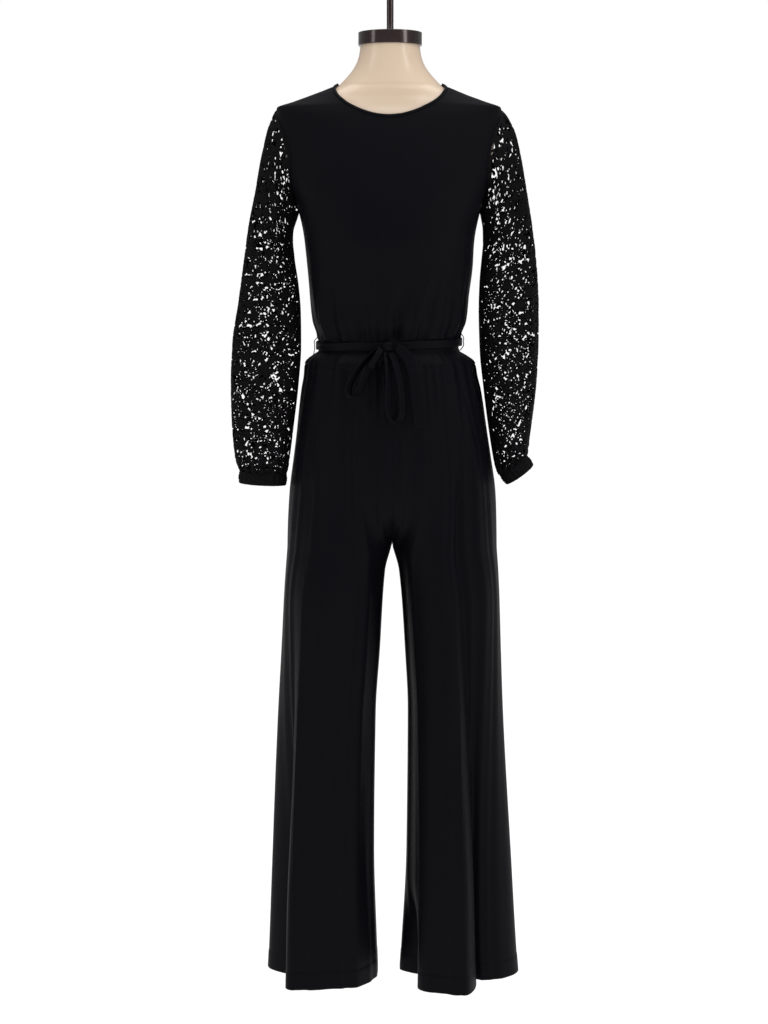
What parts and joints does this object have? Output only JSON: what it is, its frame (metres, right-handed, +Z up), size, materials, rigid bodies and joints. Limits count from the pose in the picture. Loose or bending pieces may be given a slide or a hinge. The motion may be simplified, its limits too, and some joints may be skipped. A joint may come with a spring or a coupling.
{
  "type": "jumpsuit on a hanging dress form",
  "caption": "Black long-sleeved wide-leg jumpsuit with lace sleeves and tie belt, on a limbless dress form hung from a rod.",
  "frame": {"origin": "middle of the top end of the rod that the dress form hangs from", "axes": "+Z up along the rod, -Y towards the garment's front, +X towards the garment's left sleeve"},
  "size_m": [0.5104, 0.2443, 1.6691],
  "materials": {
    "jersey": "matte",
    "lace": "matte",
    "form_shell": "satin",
    "cap_metal": "gloss",
    "button_plastic": "gloss"
  },
  "bodies": {
    "root": {"bodice_front": "jersey", "bodice_back_left": "jersey", "bodice_back_right": "jersey", "neck_binding": "jersey", "neck_button": "button_plastic", "neck_button_loop": "jersey", "trouser_front_right": "jersey", "trouser_front_left": "jersey", "trouser_back_right": "jersey", "trouser_back_left": "jersey", "sleeve_right_front": "lace", "sleeve_left_front": "lace", "sleeve_right_back": "lace", "sleeve_left_back": "lace", "cuff_right": "lace", "cuff_left": "lace", "belt_band": "jersey", "belt_knot": "jersey", "bow_loop_right": "jersey", "bow_loop_left": "jersey", "bow_tail_left": "jersey", "bow_tail_right": "jersey", "belt_loop_right": "jersey", "belt_loop_left": "jersey", "dress_form": "form_shell", "neck_cap": "cap_metal", "hanging_rod": "cap_metal"}
  },
  "joints": []
}
